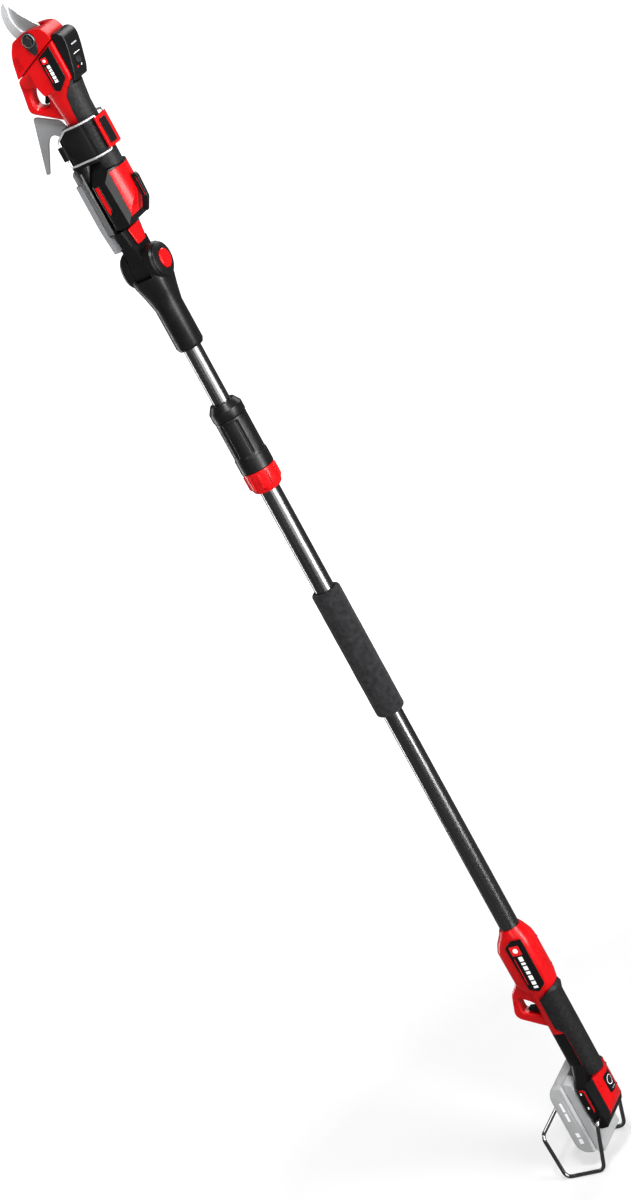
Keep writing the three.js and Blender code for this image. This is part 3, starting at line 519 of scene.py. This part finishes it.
# ------------------------------------------------------------------ collar

COLLAR = {"low": 1230, "high": 1283, "lobes": 6, "start": 0.25, "knurls": 54}


def collar_fine():
    """Clamp sleeve with six knurled lobes between plain rims."""
    low, high = COLLAR["low"], COLLAR["high"]
    knurls = COLLAR["knurls"]
    rows = [(17.4, 1228), (17.4, 1192.6), (19, 1192.6), (19, 1204.4), (24.4, 1204.4), (25, 1205),
            (25, 1225.4), (24.2, 1226.6), (24, 1228.4)]
    steps = 90
    rows += [(24, low + (high - low) * k / steps) for k in range(steps + 1)]
    rows += [(24, 1284.6), (23.6, 1286.6), (13.6, 1286.6), (13.6, 1228)]

    def shape(radius, z, angle):
        if radius < 23.9 or not low <= z <= high:
            return radius
        step = 2 * math.pi / COLLAR["lobes"]
        offset = abs((angle - COLLAR["start"] + step / 2) % step - step / 2)
        groove = 1.7 * math.exp(-(offset / 0.075) ** 2)
        fade = min(1, (z - low) / 3, (high - z) / 3, max(0, (offset - 0.16) / 0.05))
        knurl = 0.16 * fade * (math.sin(knurls * angle + 2.2 * z) * math.sin(knurls * angle - 2.2 * z))
        return radius - 0.35 - groove * min(1, (z - low) / 2, (high - z) / 2) + knurl

    finished(lathe("collar_sleeve_knurled", shape, rows, 432), "handle",
             MATERIALS["black_plastic"], ["collar_sleeve"])


collar_fine()


# ------------------------------------------------------------------ printed marks, inset trim and painted groove shade

def mark(name, body, material, outline, y, depth=0.35, bevel=0.0):
    """A thin raised mark on a flank: y is the flank's face, and the mark stands depth out from it."""
    side = -1 if y < 0 else 1
    low, high = sorted((y - side * 0.3, y + side * depth))
    return finished(slab(name, outline, low, high, "xz", bevel), body, material)


def bar(x0, x1, z0, z1, lean=0.0):
    """A four-cornered outline whose top may lean along X."""
    return [(x0, z0), (x1, z0), (x1 + lean, z1), (x0 + lean, z1)]


def label_marks(prefix, body, y, square, bars, line):
    """A red tile with a plain white disc, a column of white bars and one thin red line."""
    x, z, half = square
    tile = rounded(bar(x - half, x + half, z - half, z + half), half * 0.2, 2)
    mark(prefix + "_tile", body, INK_RED, tile, y)
    disc = [(x + half * 0.5 * math.cos(turn(t, 24)), z + half * 0.5 * math.sin(turn(t, 24)))
            for t in range(24)]
    mark(prefix + "_tile_disc", body, INK_WHITE, disc, y, 0.5)
    for i, (x0, x1, z0, z1) in enumerate(bars):
        mark(f"{prefix}_bar_{i}", body, INK_WHITE, bar(x0, x1, z0, z1), y)
    mark(prefix + "_line", body, INK_RED, bar(*line), y)


def bar_column(x0, x1, top, lengths, gap):
    """Bars one under the other, in place of lettering."""
    out = []
    for length in lengths:
        out.append((x0, x1, top - length, top))
        top -= length + gap
    return out


label_marks("rear_label", "handle", -25.6, (3.5, 381, 8.2),
            bar_column(2, 9, 370, (8, 4, 7, 5, 8, 6, 4), 2.4), (-5.4, -4.3, 322, 368))
label_marks("shear_label", "head", -24.6, (28.5, 1841, 4.4),
            bar_column(28, 33, 1834, (5, 3, 5, 4, 4), 1.1), (24.2, 25, 1810, 1833))

# Inset trim on the feet, the lever and the battery.
SHEAR_FOOT_STRIP = rounded([(8.2, 1660), (14, 1660), (14.2, 1624), (10.6, 1616.5), (8.4, 1624)], 2)
for tag, flank in (("", -35.2), ("_far", 35.2)):
    mark("shear_foot_strip" + tag, "head", MATERIALS["red_plastic"], SHEAR_FOOT_STRIP, flank,
         0.5, 0.3)

FOOT_STRIPE = rounded([(-11.5, 134.5), (-4.2, 136.2), (0.3, 132.4), (0.3, 97), (-2.4, 93.2), (-2.4, 130.4),
                       (-5, 133)], 0.8)
BATTERY_RIB = rounded([(-56, 132), (-42, 132), (-39, 44), (-56, 38)], 6)
HANDLE_SEAM_X = 6.1
for tag, side in (("near", -1), ("far", 1)):
    foot_flank, rib_flank, battery_flank = side * 39.4, side * 40, side * 40.7
    mark("foot_stripe_" + tag, "handle", MATERIALS["red_plastic"], FOOT_STRIPE, foot_flank,
         0.4, 0.2)
    for i, z in enumerate((127, 101)):
        mark(f"foot_dash_{tag}_{i}", "handle", INK_WHITE, bar(-9.5, -7, z, z + 4, 0.6),
             foot_flank, 0.25)
    mark("battery_rib_" + tag, "battery", MATERIALS["battery_plastic"], BATTERY_RIB,
         rib_flank, 0.7, 0.5)
    for i, (z0, z1) in enumerate(((106, 122), (88, 103), (58, 66), (46, 55))):
        mark(f"battery_dash_{tag}_{i}", "battery", INK_WHITE,
             bar(-50, -46 if i < 2 else -44, z0, z1), battery_flank, 0.25)
    mark("handle_seam_" + tag, "handle", MATERIALS["red_plastic"],
         bar(HANDLE_SEAM_X - 0.55, HANDLE_SEAM_X + 0.15, 150, 224), side * 18.3, 0.7)
    # Painted shade: dark red bars where the gear housing's grooves hold shade.
    for i, (z0, z1) in enumerate(((1840, 1857), (1840.5, 1860), (1841.5, 1861))):
        mark(f"gear_groove_shade_{tag}_{i}", "head", GROOVE_SHADE_RED,
             bar(-15.4 + 3.3 * i, -14.4 + 3.3 * i, z0, z1), side * 22, 0.12)

lever_face = rounded([(-12.5, 1703.5), (4.5, 1703.5), (4.5, 1739.5), (-12.5, 1739.5)], 2)
finished(slab("lever_inset", lever_face, 51.5, 53.6, "yz", 0.4), "lever",
         MATERIALS["black_plastic"])


# ------------------------------------------------------------------ control panels

def face_strip(name, start, end, t0, t1, y0, y1, body, slot, material, depth=0.3):
    """A thin strip across a sloped back face, given as the share of the way from start to end in XZ."""
    start, end = Vector(start), Vector(end)
    along = (end - start).normalized()
    out = Vector((along.y, -along.x)) * depth
    low, high = start.lerp(end, t0), start.lerp(end, t1)
    outline = [low - out, low + out, high + out, high - out]
    finished(slab(name, [tuple(p) for p in outline], y0, y1), body, material)


# The two flats of the shear's back panel, each from its lower to its upper edge in XZ.
LOWER_FACE = ((58, 1809), (66.5, 1838))
UPPER_FACE = ((66.5, 1838), (69.5, 1853))
for i in range(4):
    face_strip(f"shear_lamp_{i}", *UPPER_FACE, 0.35, 0.47, -7.2 + 3.9 * i, -4.6 + 3.9 * i, "head",
               "white_nylon", LAMP_LENS)
face_strip("shear_panel_line", *LOWER_FACE, 0.76, 0.79, -9, 9, "head", "white_nylon", INK_WHITE)
face_strip("shear_panel_mark_left", *LOWER_FACE, 0.12, 0.2, -7, -4, "head", "red_plastic", INK_RED)
face_strip("shear_panel_mark_right", *LOWER_FACE, 0.12, 0.2, 4, 7, "head", "white_nylon", INK_WHITE)


def panel_ring(name, inner, outer, centre_z):
    """A printed ring round the power button, bent to the panel's curved skin."""
    def skin(y):
        return 0.2 + 24.6 * (1 - abs(y / 24) ** 2.1) ** (1 / 2.1)

    bm = bmesh.new()
    loops = []
    steps = 48
    for radius, lift in ((inner, -0.2), (inner, 0.15), (outer, 0.15), (outer, -0.2)):
        loop = []
        for i in range(steps):
            y = radius * math.cos(turn(i, steps))
            loop.append(bm.verts.new(at(skin(y) + lift, y, centre_z + radius * math.sin(turn(i, steps)))))
        loops.append(loop)
    finished(ring_object(name, bm, loops), "handle", INK_WHITE)


panel_ring("power_ring", 6.6, 7.6, 121)
for i in range(3):
    lamp_outline = bar(-4.4 + 3.4 * i, -2.4 + 3.4 * i, 107, 108.2)
    finished(slab(f"power_lamp_{i}", lamp_outline, 24.3, 25.0, "yz"), "handle", LAMP_LENS)


# ------------------------------------------------------------------ pivot washer

def pivot_washer():
    """A bright plain washer under the pivot's nut."""
    bm = bmesh.new()
    steps = 64
    centre_x, centre_z = 21, 1874
    section = ((7.9, -23.8), (7.9, -24.5), (8.3, -24.7), (9.3, -24.7), (9.7, -24.4), (9.7, -23.8))
    loops = [[bm.verts.new(at(centre_x + radius * math.cos(turn(i, steps)), y,
                              centre_z + radius * math.sin(turn(i, steps)))) for i in range(steps)]
             for radius, y in section]
    finished(ring_object("pivot_washer", bm, loops), "head", MATERIALS["machined_steel"])


pivot_washer()


# ------------------------------------------------------------------ screws on the far flanks

def screw(name, x, z, y, body):
    """A black socket screw seen from the far side: a domed head with a six-sided recess."""
    bm = bmesh.new()
    steps, radius = 36, 2.6
    rings = []
    for reach, lift, sides in ((radius, -0.4, 0), (radius, 0.5, 0), (radius * 0.8, 0.95, 0),
                               (radius * 0.52, 1.0, 6), (radius * 0.5, -0.2, 6)):
        loop = []
        for i in range(steps):
            angle = turn(i, steps)
            r = reach
            if sides:
                wedge = math.pi / sides
                r = reach * math.cos(wedge) / math.cos((angle % (2 * wedge)) - wedge)
            loop.append(bm.verts.new(at(x + r * math.cos(angle), y + lift, z + r * math.sin(angle))))
        rings.append(loop)
    for low, high in zip(rings, rings[1:]):
        bridge(bm, low, high)
    bm.faces.new(list(reversed(rings[0])))
    bm.faces.new(rings[-1])
    head = as_object(name, bm, angle=math.radians(50))
    finished(head, body, MATERIALS["black_steel"])


# Each screw's x, z and y, in mm.
SCREWS = {
    "handle": [(-20, 372, 23.2), (17, 372, 22.4), (17, 322, 22.6), (-22, 322, 22.4), (8, 90, 35.8),
               (8, 128, 35.8)],
    "head": [(47, 1846, 22.8), (4, 1822, 22.6)],
}
for body, places in SCREWS.items():
    for i, (x, z, y) in enumerate(places):
        screw(f"{body}_screw_{i}", x, z, y, body)


# ------------------------------------------------------------------ floor, light and camera

STUDIO_REACH = 45  # metres from the tool to the edge of the floor and to the backdrop


def studio_floor():
    """A pale floor with painted light: its glow is dimmer near the tool and brighter away from it, so it
    turns white away from the tool; gloss on the tool doesn't mirror it.
    """
    bm = bmesh.new()
    reach = STUDIO_REACH
    bm.faces.new([bm.verts.new((x, y, -GRIP_HEIGHT * MM))
                  for x, y in ((-reach, -reach), (reach, -reach), (reach, reach), (-reach, reach))])
    floor = as_object("studio_floor", bm, smooth=False)
    material, tree, bsdf = shader("studio_floor")
    preset(bsdf, {"Base Color": (0.42, 0.42, 0.423, 1), "Roughness": 0.9, "Emission Color": (1, 1, 1, 1)})
    distance = tree.nodes.new("ShaderNodeVectorMath")
    distance.operation = "LENGTH"
    place = tree.nodes.new("ShaderNodeTexCoord")
    tree.links.new(place.outputs["Object"], distance.inputs[0])
    # Painted light: the floor's glow rises from 0.36 near the tool to 0.95 away from it.
    painted_light_glow = spread(tree, distance.outputs["Value"], 0.36, 0.95, 0.7, 2.6)
    tree.links.new(painted_light_glow, bsdf.inputs["Emission Strength"])
    floor.data.materials.append(material)
    floor.visible_glossy = False


def studio_backdrop():
    """A white wall all round, far off, that the camera sees and the tool doesn't."""
    rows = [(STUDIO_REACH * 1000, GRIP_HEIGHT - 5000), (STUDIO_REACH * 1000, 60000)]
    backdrop = lathe("studio_backdrop", None, rows, closed=False)
    material, _, bsdf = shader("studio_backdrop")
    preset(bsdf, {"Base Color": (0, 0, 0, 1), "Emission Color": (1, 1, 1, 1), "Emission Strength": 1.0})
    backdrop.data.materials.append(material)
    backdrop.visible_diffuse = False
    backdrop.visible_glossy = False
    backdrop.visible_transmission = False
    backdrop.visible_shadow = False


def studio_air():
    """Weak even light from all round, and the picture's contrast."""
    world = bpy.data.worlds.new("studio_world")
    world.use_nodes = True
    preset(world.node_tree.nodes["Background"], {"Color": (1, 1, 1, 1), "Strength": 0.16})
    bpy.context.scene.world = world
    bpy.context.scene.view_settings.view_transform = "Standard"
    bpy.context.scene.view_settings.look = "Medium High Contrast"


def softbox(name, place, target, size, power):
    """A rectangular lamp at a place, turned to a target, in metres and watts."""
    light = bpy.data.lights.new(name, "AREA")
    light.shape = "RECTANGLE"
    light.size, light.size_y = size
    light.energy = power
    lamp = bpy.data.objects.new(name, light)
    lamp.location = place
    lamp.rotation_mode = "QUATERNION"
    lamp.rotation_quaternion = (Vector(target) - Vector(place)).to_track_quat("-Z", "Y")
    bpy.context.scene.collection.objects.link(lamp)
    return lamp


def camera():
    """Above and in front of the near flank, rolled so that the pole runs up to the left."""
    azimuth, elevation, roll = math.radians(32.75), math.radians(17.1), math.radians(-28.85)
    distance, sideways, middle = 4.53, -0.019, 0.993
    back = Vector((math.sin(azimuth) * math.cos(elevation), -math.cos(azimuth) * math.cos(elevation),
                   math.sin(elevation)))
    right = Vector((math.cos(azimuth), math.sin(azimuth), 0))
    up = back.cross(right)
    target = Vector((0, 0, middle - GRIP_HEIGHT * MM)) + right * sideways
    turned_right = right * math.cos(roll) + up * math.sin(roll)
    turned_up = up * math.cos(roll) - right * math.sin(roll)
    data = bpy.data.cameras.new("camera")
    data.lens, data.sensor_width = 96, 36
    data.clip_end = 200
    holder = bpy.data.objects.new("camera", data)
    holder.matrix_world = Matrix((
        (turned_right.x, turned_up.x, back.x, target.x + back.x * distance),
        (turned_right.y, turned_up.y, back.y, target.y + back.y * distance),
        (turned_right.z, turned_up.z, back.z, target.z + back.z * distance),
        (0, 0, 0, 1),
    ))
    bpy.context.scene.collection.objects.link(holder)
    bpy.context.scene.camera = holder


studio_floor()
studio_backdrop()
studio_air()
softbox("key", (1.5, -1.5, 4.3), (0, 0, 0.6), (0.7, 0.7), 95)
softbox("fill", (0.2, -4.2, 1.6), (0, 0, 0.8), (1.6, 1.6), 26)
softbox("strip_right", (2.3, -0.75, 0.9), (0, 0, 0.8), (0.8, 2.6), 85)
softbox("strip_left", (-2.4, 0.1, 0.8), (0, 0, 0.8), (0.5, 2.6), 28)
softbox("rim", (0.6, 3.2, 2.8), (0, 0, 0.9), (2.4, 1.6), 55)
# Seen only in gloss: the broad pale band along the tubes.
glint = softbox("glint", (2.6, -1.5, 1.3), (0, 0, 0.8), (4.2, 3.0), 90)
glint.visible_diffuse = False
glint.visible_camera = False
camera()
